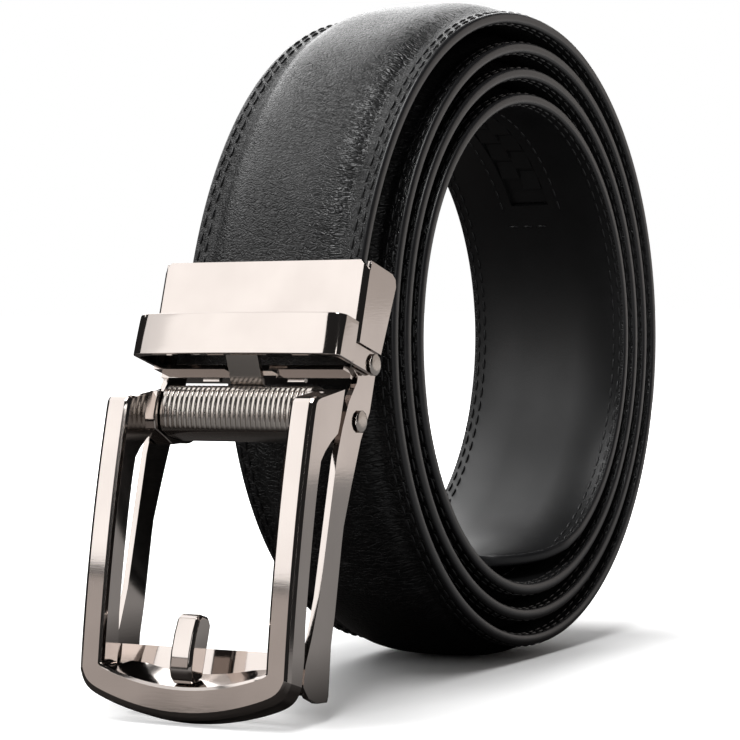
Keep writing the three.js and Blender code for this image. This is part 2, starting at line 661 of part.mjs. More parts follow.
function buckleFrame() {
  const half = frameHalf;
  const windowHalf = half - RAIL_WIDTH;
  const height = FRAME_LENGTH - FRAME_TOP;
  const rail = FRAME_ROWS.map((row) => ({
    inner: new THREE.Vector2(windowHalf, FRAME_TOP + row.innerDrop * height),
    outer: new THREE.Vector2(half, FRAME_TOP + row.outerDrop * height),
    top: row.top,
    ear: row.ear,
    scoop: row.scoop,
  }));
  const foot = FOOT_ROWS.map(({ inner, outer, scoop }) => {
    const corner = FOOT_CORNER * outer ** FOOT_CORNER_POWER;
    return {
      inner: new THREE.Vector2(inner * windowHalf, windowFoot - WINDOW_SAG * inner ** 2),
      outer: new THREE.Vector2(outer * half, FRAME_LENGTH - FRAME_SAG * outer ** 2 - corner),
      top: 0,
      ear: 0,
      scoop,
    };
  });
  const right = [...rail, ...foot];
  const left = right.slice(0, -1).map((station) => ({
    ...station,
    inner: new THREE.Vector2(-station.inner.x, station.inner.y),
    outer: new THREE.Vector2(-station.outer.x, station.outer.y),
  })).reverse();
  const rings = [...right, ...left].map(({ inner, outer, top, ear, scoop }) => {
    const face = frameFace((inner.y + outer.y) / 2);
    const railBack = face + RAIL_DEPTH + RAIL_CHAMFER;
    const back = THREE.MathUtils.lerp(THREE.MathUtils.lerp(railBack, EAR_BACK, ear), SCOOP_BACK, scoop);
    return RAIL_ROWS.map(({ across, face: ease, depth }) => {
      const at = inner.clone().lerp(outer, across);
      const drop = depth ? 0 : top * EAR_EASE;
      const rise = depth && across === 0 ? scoop * SCOOP_RISE : 0;
      return new THREE.Vector3(at.x, depth ? back : face + ease, -(at.y + drop - rise));
    });
  });
  const section = RAIL_ROWS.map(({ across, face, depth }) =>
    new THREE.Vector2(across * RAIL_WIDTH, depth ? RAIL_DEPTH + RAIL_CHAMFER : face)
  );
  const body = loft(rings, section);
  const hubs = [-1, 1].map((side) => hub(side));
  const hole = pin(PIVOT, RIVET_HOLE_RADIUS, -armOutside, armOutside);
  return cut(joined(body, ...hubs), hole);
}

// The inner cheek that carries the frame on the pivot rivets, inside the base's arms.
function hub(side) {
  const { back, down } = PIVOT;
  const outline = [[EAR_BACK - 0.56 * HUB_RADIUS, FRAME_TOP + 1]];
  for (let i = 0; i <= HUB_STEPS; i += 1) {
    const angle = THREE.MathUtils.degToRad(-90 + (180 * i) / HUB_STEPS);
    outline.push([back + HUB_RADIUS * Math.cos(angle), down + HUB_RADIUS * Math.sin(angle)]);
  }
  outline.push(
    [back - 0.8 * HUB_RADIUS, down + 1.28 * HUB_RADIUS],
    [EAR_BACK - 0.33 * HUB_RADIUS, down + HUB_RADIUS],
    [EAR_BACK - 0.56 * HUB_RADIUS, down + 0.47 * HUB_RADIUS]
  );
  return side > 0 ? sidePlate(outline, hubInside, hubOutside) : sidePlate(outline, -hubOutside, -hubInside);
}

// Side outline of the heel bar: shares of its depth from the front and of its height from the top.
const HEEL_ROWS = [
  { back: 1, drop: 0 },
  { back: 0.45, drop: 0 },
  { back: 0.28, drop: 0.02 },
  { back: 0.12, drop: 0.1 },
  { back: 0.03, drop: 0.24 },
  { back: 0, drop: 0.45 },
  { back: 0.03, drop: 0.68 },
  { back: 0.1, drop: 0.86 },
  { back: 0.2, drop: 0.96 },
  { back: 0.45, drop: 1 },
  { back: 1, drop: 0.967 },
];

function heelBar() {
  const half = hubInside - SEAT_GAP;
  const depth = HEEL_BACK + HEEL_REACH;
  const height = HEEL_BOTTOM - HEEL_TOP;
  const outline = HEEL_ROWS.map((row) => [row.back * depth - HEEL_REACH, HEEL_TOP + row.drop * height]);
  return sidePlate(outline, -half, half);
}

function pawl() {
  const seat = HEEL_TOP - SEAT_GAP;
  const outline = [
    [PAWL_TIP.back, PAWL_TIP.down + 0.4],
    [PAWL_TIP.back + 0.5, PAWL_TIP.down],
    [PAWL_TIP.back + PAWL_THICKNESS, PAWL_TIP.down],
    [1.3, seat - 0.3],
    [1.9, seat - 0.3],
    [1.9, seat],
    [0.4, seat],
  ];
  return sidePlate(outline, -PAWL_WIDTH / 2, PAWL_WIDTH / 2);
}

// Stub prong that stands on the frame's foot, its front rounded from top to bottom.
function prong() {
  const rimBack = frameFace((windowFoot + FRAME_LENGTH) / 2) + RAIL_EDGE;
  const seatAt = (back) => windowFoot - (SCOOP_RISE * (back - rimBack)) / (SCOOP_BACK - rimBack) - SEAT_GAP;
  const top = PRONG_TOP;
  const height = windowFoot - top;
  const outline = [
    [-PRONG_REACH + 1.5, top], [-PRONG_REACH + 0.5, top + 0.08 * height],
    [-PRONG_REACH + 0.1, top + 0.3 * height], [-PRONG_REACH, top + 0.55 * height],
    [-PRONG_REACH + 0.3, top + 0.8 * height], [-PRONG_REACH + 1.1, top + 0.92 * height],
    [rimBack - 0.6, seatAt(rimBack)], [rimBack, seatAt(rimBack)],
    [PRONG_BACK, seatAt(PRONG_BACK)], [PRONG_BACK, top + 0.1 * height], [PRONG_BACK - 1, top],
  ];
  return sidePlate(outline, -PRONG_WIDTH / 2, PRONG_WIDTH / 2, PRONG_BEVEL);
}

// Assembly
const strap = new THREE.Group();
strap.add(
  mesh("strap_outer", strapOuter(), leather),
  mesh("strap_backing", strapBacking(), lining),
  mesh("ratchet_track", ratchetTrack(), nylon)
);

const buckle = new THREE.Group();
buckle.add(
  mesh("clamp_box", clampBox(), gunmetal),
  mesh("clamp_jaw", clampJaw(), steel),
  mesh("keeper_loop", keeperLoop(), gunmetal),
  mesh("base_frame", baseFrame(), gunmetal),
  mesh("buckle_frame", buckleFrame(), gunmetal),
  mesh("heel_bar", heelBar(), steel),
  mesh("pawl", pawl(), steel),
  mesh("prong", prong(), gunmetal)
);
for (const [word, side] of [["left", -1], ["right", 1]]) {
  const upperHead = clampHalf + SEAT_GAP;
  const lowerHead = armOutside + SEAT_GAP;
  buckle.add(
    rivet(`rivet_upper_${word}`, UPPER_RIVET, side, armInside - 0.3, upperHead),
    rivet(`rivet_lower_${word}`, PIVOT, side, hubInside + 0.4, lowerHead)
  );
}
buckle.position.set(0, -clampReach, mouthHeight);
buckle.rotation.x = -buckleLean;

// The origin is under the middle of the whole belt, on the floor.
const belt = new THREE.Group();
belt.add(strap, buckle);
belt.updateMatrixWorld(true);
const extent = new THREE.Box3().setFromObject(belt, true);
belt.position.set(-(extent.min.x + extent.max.x) / 2, -(extent.min.y + extent.max.y) / 2, -extent.min.z);

export default belt;
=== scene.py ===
# %% [markdown]
# # A ratchet belt, rolled up and standing on its rim
# The belt has two leathers, a padded crown along its middle, and a buckle of plated zinc alloy.
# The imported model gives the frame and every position. This lesson builds the finer pieces around it.
# The strap is made flat, as a belt maker makes it, and is rolled up only at the end.

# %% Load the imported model
import math

import bmesh
import bpy
import numpy as np
from mathutils import Matrix, Vector


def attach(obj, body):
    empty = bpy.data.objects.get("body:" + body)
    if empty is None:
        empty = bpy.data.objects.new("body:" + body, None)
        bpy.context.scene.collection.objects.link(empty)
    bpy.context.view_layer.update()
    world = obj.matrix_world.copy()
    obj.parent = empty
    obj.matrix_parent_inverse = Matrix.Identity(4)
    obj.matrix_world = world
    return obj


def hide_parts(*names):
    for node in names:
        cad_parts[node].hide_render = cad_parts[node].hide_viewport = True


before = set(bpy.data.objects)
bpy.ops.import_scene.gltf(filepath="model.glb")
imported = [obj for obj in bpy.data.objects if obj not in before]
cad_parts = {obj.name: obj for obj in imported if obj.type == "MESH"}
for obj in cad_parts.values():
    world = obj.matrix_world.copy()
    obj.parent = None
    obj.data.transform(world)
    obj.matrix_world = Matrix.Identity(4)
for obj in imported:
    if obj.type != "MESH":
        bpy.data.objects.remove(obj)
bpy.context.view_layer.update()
print("nodes", sorted(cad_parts))

# %% [markdown]
# ## The camera
# The photograph was taken with a long lens, a little above the floor and to the right of the buckle.
# The camera's place was worked out from the coil's rims, so it is given by its three axes and its centre.

# %% Camera
MM = 0.001
azimuth, elevation, roll = math.radians(29.69), math.radians(1.75), math.radians(-0.85)
level = Vector((math.cos(azimuth), math.sin(azimuth), 0))
sight = Vector((-math.sin(azimuth) * math.cos(elevation), math.cos(azimuth) * math.cos(elevation),
                -math.sin(elevation)))
upright = level.cross(sight)
right = level * math.cos(roll) + upright * math.sin(roll)
top = upright * math.cos(roll) - level * math.sin(roll)
camera = bpy.data.objects.new("camera", bpy.data.cameras.new("camera"))
bpy.context.scene.collection.objects.link(camera)
camera.data.lens = 2717 / 740 * 36
camera.data.sensor_width = 36
camera.data.clip_end = 20
centre = (level * -14.3 + upright * 55.8 - sight * 528.7 + Vector((0, 14.53, 0))) * MM
camera.matrix_world = Matrix.Translation(centre) @ Matrix((right, top, -sight)).transposed().to_4x4()
bpy.context.scene.camera = camera
print("camera at", [round(c, 4) for c in centre])

# %% [markdown]
# ## Colours and nodes
# Colours are picked as sRGB hex values, as in any paint program. Blender's nodes want linear values.
# One small function adds a node: its properties, and its sockets as values or as links.
# A pattern's scale counts its features per metre, so 2600 is one about every 0.4 mm.

# %% Helpers for materials
def hex_colour(code):
    parts = [int(code[i:i + 2], 16) / 255 for i in (1, 3, 5)]
    return [c / 12.92 if c <= 0.04045 else ((c + 0.055) / 1.055) ** 2.4 for c in parts] + [1]


def add(tree, kind, sockets=(), **properties):
    """Adds a node. A socket's value may be another node's output, which is then linked."""
    node = tree.nodes.new(kind)
    for name, value in properties.items():
        setattr(node, name, value)
    for name, value in dict(sockets).items():
        if isinstance(value, bpy.types.NodeSocket):
            tree.links.new(value, node.inputs[name])
        else:
            node.inputs[name].default_value = value
    return node


def start_material(name, **shader):
    """A new material with its Principled shader, whose plain values are set on its own sockets."""
    material = bpy.data.materials.new(name)
    material.use_nodes = True
    tree = material.node_tree
    tree.nodes.clear()
    surface = add(tree, "ShaderNodeBsdfPrincipled", shader)
    out = add(tree, "ShaderNodeOutputMaterial", {"Surface": surface.outputs["BSDF"]})
    return material, tree, surface


# %% [markdown]
# ## Milled leather
# The outer leather is full-grain cowhide, tumbled in a drum until its grain stands up as small pebbles,
# then dyed black and given a satin finish. Over the padding it is stretched and shows fine creases across.
# The pattern reads the strap's own UV map, in metres across and along, so that it follows the strap.

# %% Leather of the strap's face
PEBBLE = 0.62 * MM
CREASE_ACROSS, CREASE_ALONG = 2.6 * MM, 0.8 * MM


def milled_leather():
    material, tree, surface = start_material("milled_cowhide", Roughness=0.36)
    place = add(tree, "ShaderNodeUVMap", uv_map="strap").outputs["UV"]
    warp = add(tree, "ShaderNodeTexNoise", {"Vector": place, "Scale": 420, "Detail": 2})
    bent = add(tree, "ShaderNodeVectorMath", {
        0: place,
        1: add(tree, "ShaderNodeVectorMath", {0: warp.outputs["Color"], "Scale": 1.5 * MM},
               operation="SCALE").outputs[0]}, operation="ADD").outputs[0]
    squeezed = add(tree, "ShaderNodeMapping", {"Vector": bent, "Scale": (0.75, 1.25, 1)}).outputs[0]
    pebbles = add(tree, "ShaderNodeTexVoronoi", {"Vector": squeezed, "Scale": 1 / PEBBLE},
                  feature="DISTANCE_TO_EDGE").outputs["Distance"]
    pebble = add(tree, "ShaderNodeMapRange", {"Value": pebbles, "From Min": 0.0, "From Max": 0.3},
                 interpolation_type="SMOOTHSTEP").outputs[0]
    crease_place = add(tree, "ShaderNodeMapping", {
        "Vector": bent, "Scale": (1 / CREASE_ACROSS, 1 / CREASE_ALONG, 1), "Rotation": (0, 0, 0.12)})
    creases = add(tree, "ShaderNodeTexVoronoi", {"Vector": crease_place.outputs[0], "Scale": 1},
                  feature="DISTANCE_TO_EDGE").outputs["Distance"]
    crease_line = add(tree, "ShaderNodeMapRange", {
        "Value": creases, "From Min": 0.0, "From Max": 0.1, "To Min": 0.0, "To Max": 1.0},
        interpolation_type="SMOOTHSTEP").outputs[0]
    patches = add(tree, "ShaderNodeTexNoise", {"Vector": place, "Scale": 60, "Detail": 1})
    patch = add(tree, "ShaderNodeMapRange", {
        "Value": patches.outputs["Fac"], "From Min": 0.4, "From Max": 0.6,
        "To Min": 0.15, "To Max": 1.0}).outputs[0]
    crease_depth = add(tree, "ShaderNodeMath", {0: crease_line, 1: patch}, operation="MULTIPLY")
    fine = add(tree, "ShaderNodeTexNoise", {"Vector": place, "Scale": 2600, "Detail": 3}).outputs["Fac"]
    height = add(tree, "ShaderNodeMath", {0: pebble, 1: 0.5, 2: crease_depth.outputs[0]},
                 operation="MULTIPLY_ADD").outputs[0]
    height = add(tree, "ShaderNodeMath", {0: fine, 1: 0.5, 2: height}, operation="MULTIPLY_ADD").outputs[0]
    bump = add(tree, "ShaderNodeBump", {"Height": height, "Strength": 0.9, "Distance": 0.15 * MM})
    # Painted shade: the grooves between the pebbles are coloured darker than the pebbles' tops.
    colour = add(tree, "ShaderNodeMix", {
        "Factor": pebble, 6: hex_colour("#0b0b0c"), 7: hex_colour("#141415")}, data_type="RGBA")
    gloss = add(tree, "ShaderNodeMapRange", {
        "Value": patches.outputs["Fac"], "From Min": 0.3, "From Max": 0.7, "To Min": 0.3, "To Max": 0.38})
    tree.links.new(colour.outputs[2], surface.inputs["Base Color"])
    tree.links.new(gloss.outputs[0], surface.inputs["Roughness"])
    tree.links.new(bump.outputs[0], surface.inputs["Normal"])
    return material


LEATHER = milled_leather()
print("leather, pebbles of", PEBBLE / MM, "mm")

# %% [markdown]
# ## Edge paint, lining, thread and nylon
# The cut edges are sanded and painted with a polyurethane edge paint, which dries to a smooth satin bead.
# The lining is smooth split leather with a rolled finish. The seams are waxed polyester thread.
# The track is moulded nylon, and its teeth keep the dull skin of the mould.

# %% Materials of the strap's smaller parts
def edge_paint():
    material, tree, surface = start_material("edge_paint", Roughness=0.34)
    place = add(tree, "ShaderNodeTexCoord").outputs["Object"]
    ripple = add(tree, "ShaderNodeTexNoise", {"Vector": place, "Scale": 420, "Detail": 3}).outputs["Fac"]
    bump = add(tree, "ShaderNodeBump", {"Height": ripple, "Strength": 0.25, "Distance": 0.1 * MM})
    colour = add(tree, "ShaderNodeMix", {
        "Factor": ripple, 6: hex_colour("#1b1b1d"), 7: hex_colour("#262628")}, data_type="RGBA")
    tree.links.new(colour.outputs[2], surface.inputs["Base Color"])
    tree.links.new(bump.outputs[0], surface.inputs["Normal"])
    return material


def lining_leather():
    material, tree, surface = start_material("lining_leather", Roughness=0.4)
    place = add(tree, "ShaderNodeUVMap", uv_map="strap").outputs["UV"]
    cloud = add(tree, "ShaderNodeTexNoise", {"Vector": place, "Scale": 160, "Detail": 4}).outputs["Fac"]
    pores = add(tree, "ShaderNodeTexNoise", {"Vector": place, "Scale": 2400, "Detail": 4}).outputs["Fac"]
    bump = add(tree, "ShaderNodeBump", {"Height": pores, "Strength": 0.3, "Distance": 0.05 * MM})
    colour = add(tree, "ShaderNodeMix", {
        "Factor": cloud, 6: hex_colour("#0f0f10"), 7: hex_colour("#171718")}, data_type="RGBA")
    gloss = add(tree, "ShaderNodeMapRange", {"Value": cloud, "To Min": 0.34, "To Max": 0.46})
    tree.links.new(colour.outputs[2], surface.inputs["Base Color"])
    tree.links.new(gloss.outputs[0], surface.inputs["Roughness"])
    tree.links.new(bump.outputs[0], surface.inputs["Normal"])
    return material


def waxed_thread():
    material, tree, surface = start_material("waxed_thread", Roughness=0.38)
    place = add(tree, "ShaderNodeTexCoord").outputs["Object"]
    strands = add(tree, "ShaderNodeTexNoise", {"Vector": place, "Scale": 2600, "Detail": 2}).outputs["Fac"]
    bump = add(tree, "ShaderNodeBump", {"Height": strands, "Strength": 0.4, "Distance": 0.08 * MM})
    colour = add(tree, "ShaderNodeMix", {
        "Factor": strands, 6: hex_colour("#0e0e0f"), 7: hex_colour("#262628")}, data_type="RGBA")
    tree.links.new(colour.outputs[2], surface.inputs["Base Color"])
    tree.links.new(bump.outputs[0], surface.inputs["Normal"])
    return material


def moulded_nylon():
    material, tree, surface = start_material("moulded_nylon", Roughness=0.5)
    place = add(tree, "ShaderNodeTexCoord").outputs["Object"]
    skin = add(tree, "ShaderNodeTexNoise", {"Vector": place, "Scale": 1500, "Detail": 3}).outputs["Fac"]
    bump = add(tree, "ShaderNodeBump", {"Height": skin, "Strength": 0.25, "Distance": 0.05 * MM})
    colour = add(tree, "ShaderNodeMix", {
        "Factor": skin, 6: hex_colour("#0a0a0b"), 7: hex_colour("#151516")}, data_type="RGBA")
    tree.links.new(colour.outputs[2], surface.inputs["Base Color"])
    tree.links.new(bump.outputs[0], surface.inputs["Normal"])
    return material


PAINT, LINING, THREAD, NYLON = edge_paint(), lining_leather(), waxed_thread(), moulded_nylon()
print("strap materials", [m.name for m in (PAINT, LINING, THREAD, NYLON)])

# %% [markdown]
# ## Gunmetal plating and plated steel
# The buckle is zinc alloy, polished and then plated with black nickel: a dark, slightly warm mirror.
# A mirror shows what stands round it, so most of its look comes from the lights further below.
# The inner steel parts are tumbled before plating, which leaves a finer, softer gloss.
# Polishing marks are finer than the render can show, so they are drawn about 0.4 mm apart and very shallow.

# %% Metals
def plated(name, light, dark, low, high, haze):
    """A plated metal between two colours and two roughnesses, with polishing marks as deep as its haze."""
    material, tree, surface = start_material(name, Metallic=1.0)
    place = add(tree, "ShaderNodeTexCoord").outputs["Object"]
    cloud = add(tree, "ShaderNodeTexNoise", {"Vector": place, "Scale": 90, "Detail": 3}).outputs["Fac"]
    wipe = add(tree, "ShaderNodeMapping", {"Vector": place, "Scale": (300, 300, 2600)}).outputs[0]
    hairs = add(tree, "ShaderNodeTexNoise", {"Vector": wipe, "Scale": 1, "Detail": 4}).outputs["Fac"]
    bump = add(tree, "ShaderNodeBump", {"Height": hairs, "Strength": haze, "Distance": 0.01 * MM})
    colour = add(tree, "ShaderNodeMix", {
        "Factor": cloud, 6: hex_colour(light), 7: hex_colour(dark)}, data_type="RGBA")
    gloss = add(tree, "ShaderNodeMapRange", {"Value": cloud, "To Min": low, "To Max": high})
    tree.links.new(colour.outputs[2], surface.inputs["Base Color"])
    tree.links.new(gloss.outputs[0], surface.inputs["Roughness"])
    tree.links.new(bump.outputs[0], surface.inputs["Normal"])
    return material


GUNMETAL = plated("black_nickel_plating", "#B9B1AC", "#A79F9A", 0.05, 0.1, 0.15)
STEEL = plated("plated_steel", "#BDB6B0", "#9E9791", 0.16, 0.26, 0.4)
print("metals", GUNMETAL.name, STEEL.name)

# %% [markdown]
# ## The strap's path
# The strap leaves the clamp straight, rises in a long easy curve and joins the coil past its top.
# The coil is a spiral, a little taller than wide. The line that is followed is the margin's outer face,
# where the leather is sewn flat. Everything on the strap is placed by its length along this line.
# Shapes are given in millimetres from here on, and each point is turned to metres as it is made.

# %% Path from the clamp to the tip
COIL_Y, COIL_Z = 19.186, 61.6
LEAN = math.radians(18.06)
CLAMP_Y, CLAMP_Z = -50.514, 76.662
COIL_RADIUS, LOSS_PER_TURN, TALLER = 60.4, 4.685, 1.037
STRAP_BACK, START_PULL, JOIN_PULL = 3.3, 106, 115


def buckle_side(back, down):
    """A point of the buckle's side view, in millimetres, as (y, z)."""
    return np.array([CLAMP_Y - down * math.sin(LEAN) + back * math.cos(LEAN),
                     CLAMP_Z - down * math.cos(LEAN) - back * math.sin(LEAN)])


def spiral(angle):
    radius = COIL_RADIUS - LOSS_PER_TURN * angle / 360
    turn = math.radians(angle)
    return np.array([COIL_Y - radius * math.cos(turn), COIL_Z + TALLER * radius * math.sin(turn)])


STRAP_END, JOIN_ANGLE, TIP_ANGLE = 18, 101.25, 1352
start, joined_at = buckle_side(STRAP_BACK, 0), spiral(JOIN_ANGLE)
start_pull = START_PULL * np.array([math.sin(LEAN), math.cos(LEAN)])
join_way = spiral(JOIN_ANGLE + 0.5) - spiral(JOIN_ANGLE - 0.5)
join_pull = JOIN_PULL * join_way / np.linalg.norm(join_way)
path = [buckle_side(STRAP_BACK, down) for down in np.arange(STRAP_END, 0, -1.0)]
for t in np.arange(0, 1, 1 / 96):
    path.append((2 * t ** 3 - 3 * t ** 2 + 1) * start + (t ** 3 - 2 * t ** 2 + t) * start_pull
                + (3 * t ** 2 - 2 * t ** 3) * joined_at + (t ** 3 - t ** 2) * join_pull)
path += [spiral(angle) for angle in np.arange(JOIN_ANGLE, TIP_ANGLE + 0.01, 1.0)]
path = np.array(path)
steps = np.linalg.norm(np.diff(path, axis=0), axis=1)
along = np.concatenate([[0], np.cumsum(steps)])
ways = np.gradient(path, along, axis=0)
ways /= np.linalg.norm(ways, axis=1)[:, None]
STRAP_LENGTH = along[-1]
print("strap length in mm", round(STRAP_LENGTH, 1))


def roll(bm):
    """Rolls flat strap work up: x stays, y is the length along the strap, z the height over the margin."""
    bm.verts.ensure_lookup_table()
    co = np.array([v.co for v in bm.verts]) / MM
    py, pz, dy, dz = (np.interp(co[:, 1], along, column) for column in (*path.T, *ways.T))
    y, z = py - co[:, 2] * dz, pz + co[:, 2] * dy
    for vert, place in zip(bm.verts, np.stack([co[:, 0], y, z], axis=1) * MM):
        vert.co = place


# %% [markdown]
# ## Making an object from a bmesh
# Each finished piece keeps its object at the origin, with its place in its mesh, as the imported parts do.
# Polished metal gets a weighted normal modifier, so that its flat faces mirror like flat glass and only
# the narrow broken edges between them bend the reflections.

# %% Piece maker
POLISHED = (GUNMETAL.name, STEEL.name)


def piece(name, bm, body, materials, smooth=40):
    """Makes the object, which rides on a body and takes the given materials."""
    mesh = bpy.data.meshes.new(name)
    bm.to_mesh(mesh)
    bm.free()
    for material in materials:
        mesh.materials.append(material)
    mesh.shade_smooth()
    mesh.set_sharp_from_angle(angle=math.radians(smooth))
    thing = bpy.data.objects.new(name, mesh)
    bpy.context.scene.collection.objects.link(thing)
    if materials[0].name in POLISHED:
        flat = thing.modifiers.new("keep_flats_flat", "WEIGHTED_NORMAL")
        flat.keep_sharp = True
    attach(thing, body)
    print(name, len(mesh.polygons), "faces")
    return thing


def flat_uv(bm):
    """Writes the strap's UV map from the flat shape: metres across and along."""
    layer = bm.loops.layers.uv.new("strap")
    for face in bm.faces:
        for loop in face.loops:
            loop[layer].uv = (loop.vert.co.x + loop.vert.co.z * 0.6, loop.vert.co.y)


# %% [markdown]
# ## The outer leather
# The real strap is a flat cut of leather, moulded over a core so that its middle stands up as a crown.
# Its section is drawn once, pulled out to the strap's whole length and cut into short lengths,
# so that it can bend. The tip is then narrowed, the crown eased down into the clamp, and the strap rolled.
# The edges go down past the lining, because paint covers both leathers as one bead.

# %% Section of the strap
CROWN = [(14.0, 0.0), (13.6, -0.05), (13.2, 0.03), (12.75, 0.24), (12.2, 0.6), (11.55, 1.04),
         (10.7, 1.5), (9.5, 1.92), (8.0, 2.24), (6.2, 2.45), (4.2, 2.56), (2.1, 2.6)]
EDGE = [(16.7, -2.1), (17.1, -2.05), (17.38, -1.8), (17.5, -1.45), (17.5, -0.78), (17.4, -0.38), (17.2, -0.1),
        (16.9, 0.0), (16.3, 0.0), (15.6, 0.0), (14.95, 0.0), (14.5, 0.0)]
UNDER = [(16.9, -1.02), (5.6, -1.02), (5.5, -0.9)]
TIP = 22
TIP_WIDTHS = ((0, 0.3, 0.55, 0.75, 0.9, 0.97, 1.0), (1, 0.97, 0.86, 0.7, 0.5, 0.37, 0.28))
TIP_CROWNS = ((0, 0.3, 0.55, 0.75, 0.9, 1.0), (1, 0.95, 0.85, 0.7, 0.5, 0.35))
CLAMP_CROWNS = ((0, 11.5, 18, 29), (0.35, 0.6, 0.82, 1.0))
print("crown", CROWN[-1][1], "mm high on a strap", 2 * EDGE[3][0], "mm wide")

# %% Pull the section out and shape its ends


def pull_out(outline, length_step=2.0):
    """A bar of the given section, from 0 to the strap's length, cut across into short lengths."""
    bm = bmesh.new()
    ring = [bm.verts.new((x * MM, 0, h * MM)) for x, h in outline]
    face = bm.faces.new(ring)
    pulled = bmesh.ops.extrude_face_region(bm, geom=[face])["geom"]
    moved = [v for v in pulled if isinstance(v, bmesh.types.BMVert)]
    bmesh.ops.translate(bm, verts=moved, vec=(0, STRAP_LENGTH * MM, 0))
    long_edges = [e for e in bm.edges if abs(e.verts[0].co.y - e.verts[1].co.y) > 0.1]
    cuts = int(STRAP_LENGTH / length_step)
    bmesh.ops.subdivide_edges(bm, edges=long_edges, cuts=cuts, use_grid_fill=False)
    return bm


def shape_ends(bm):
    """Narrows the tip, and lowers the crown there and inside the clamp."""
    for vert in bm.verts:
        length = vert.co.y / MM
        share = (length - STRAP_LENGTH + TIP) / TIP
        if vert.co.z > 0:
            vert.co.z *= np.interp(length, *CLAMP_CROWNS) * np.interp(share, *TIP_CROWNS)
        vert.co.x *= np.interp(share, *TIP_WIDTHS)


# %% Outer leather
half_outline = EDGE + CROWN
outline = half_outline + [(-x, h) for x, h in reversed(half_outline)]
outline += [(-x, h) for x, h in UNDER] + list(reversed(UNDER))
bm = pull_out(outline)
flat_uv(bm)
bmesh.ops.recalc_face_normals(bm, faces=bm.faces)
for face in bm.faces:
    middle = face.calc_center_median() / MM
    face.material_index = int(abs(middle.x) > 17.0 and middle.z < -0.02)
shape_ends(bm)
roll(bm)
strap_face = piece("strap_face", bm, "belt", [LEATHER, PAINT], smooth=50)
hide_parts("strap_outer")

# %% [markdown]
# ## The lining
# The lining is a plain flat band under the outer leather, with a long window that leaves the track open.
# The section is split at the window's sides, so the window is made by taking those faces out and closing
# the walls between the two openings.

# %% Lining with its window
WINDOW_TO_TIP, WINDOW_LENGTH = 99, 240
WINDOW_END = STRAP_LENGTH - WINDOW_TO_TIP
WINDOW_START = WINDOW_END - WINDOW_LENGTH
half_lining = [(16.86, -1.1), (16.88, -2.0), (16.7, -2.1), (6.0, -2.1), (4.2, -2.1)]
lining_outline = half_lining + [(-x, h) for x, h in reversed(half_lining)] + [(-4.2, -1.1), (4.2, -1.1)]
bm = pull_out(lining_outline)
flat_uv(bm)
rings = sorted({round(v.co.y, 6) for v in bm.verts})
first = min(rings, key=lambda y: abs(y - WINDOW_START * MM))
last = min(rings, key=lambda y: abs(y - WINDOW_END * MM))
inside = [f for f in bm.faces if abs(f.normal.z) > 0.9 and abs(f.calc_center_median().x) < 4.0 * MM
          and first < f.calc_center_median().y < last and len(f.verts) == 4]
bmesh.ops.delete(bm, geom=inside, context="FACES")
rims = [e for e in bm.edges if e.is_boundary]
bmesh.ops.bridge_loops(bm, edges=rims)
loose = [e for e in bm.edges if not e.link_faces]
bmesh.ops.delete(bm, geom=loose, context="EDGES")
bmesh.ops.recalc_face_normals(bm, faces=bm.faces)
shape_ends(bm)
roll(bm)
lining = piece("strap_lining", bm, "belt", [LINING], smooth=50)
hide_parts("strap_backing")

# %% [markdown]
# ## The seams
# Two rows of lockstitch run along each margin, through both leathers, so they show on both faces.
# Each stitch is a short bead of thread with its ends pulled into the needle holes. One is made and then
# doubled again and again along the row, which is quick even for hundreds of them.

# %% One row of stitches
STITCH = 3.2
SEAM_ROWS = ((14.95, 0.0), (16.3, STITCH / 2))
SEAM_START, FACE_HEIGHT, LINING_HEIGHT = 3, 0.06, -2.12


def stitches(bm, x, start, end, height, across=False):
    """Adds a row of stitches to bm, along the strap, or across it from start to end."""
    before = len(bm.verts), len(bm.edges), len(bm.faces)
    bmesh.ops.create_uvsphere(bm, u_segments=6, v_segments=5, radius=1)
    one = bm.verts[before[0]:] if before[0] else bm.verts[:]
    size = Vector((0.29, 1.25, 0.24)) * MM
    bmesh.ops.rotate(bm, verts=one, cent=(0, 0, 0), matrix=Matrix.Rotation(math.pi / 2, 3, "X"))
    bmesh.ops.scale(bm, verts=one, vec=(size.y, size.x, size.z) if across else size)
    corner = (start, x, height) if across else (x, start, height)
    bmesh.ops.translate(bm, verts=one, vec=Vector(corner) * MM)
    way = Vector((1, 0, 0)) if across else Vector((0, 1, 0))
    count, done = max(1, int((end - start) / STITCH)), 1
    per = [len(bm.verts) - before[0], len(bm.edges) - before[1], len(bm.faces) - before[2]]
    while done < count:
        more = min(done, count - done)
        for kind in (bm.verts, bm.edges, bm.faces):
            kind.ensure_lookup_table()
        geom = [g for kind, b, n in zip((bm.verts, bm.edges, bm.faces), before, per)
                for g in kind[b:b + n * more]]
        copy = bmesh.ops.duplicate(bm, geom=geom)["geom"]
        new = [g for g in copy if isinstance(g, bmesh.types.BMVert)]
        bmesh.ops.translate(bm, verts=new, vec=way * done * STITCH * MM)
        done += more
    bm.verts.ensure_lookup_table()


# %% Seams on both faces
SEAM_END = STRAP_LENGTH - TIP * 0.55
bm = bmesh.new()
for side in (-1, 1):
    for row, shift in SEAM_ROWS:
        stitches(bm, side * row, SEAM_START + shift, SEAM_END, FACE_HEIGHT)
roll(bm)
face_seams = piece("seams_on_face", bm, "belt", [THREAD], smooth=180)

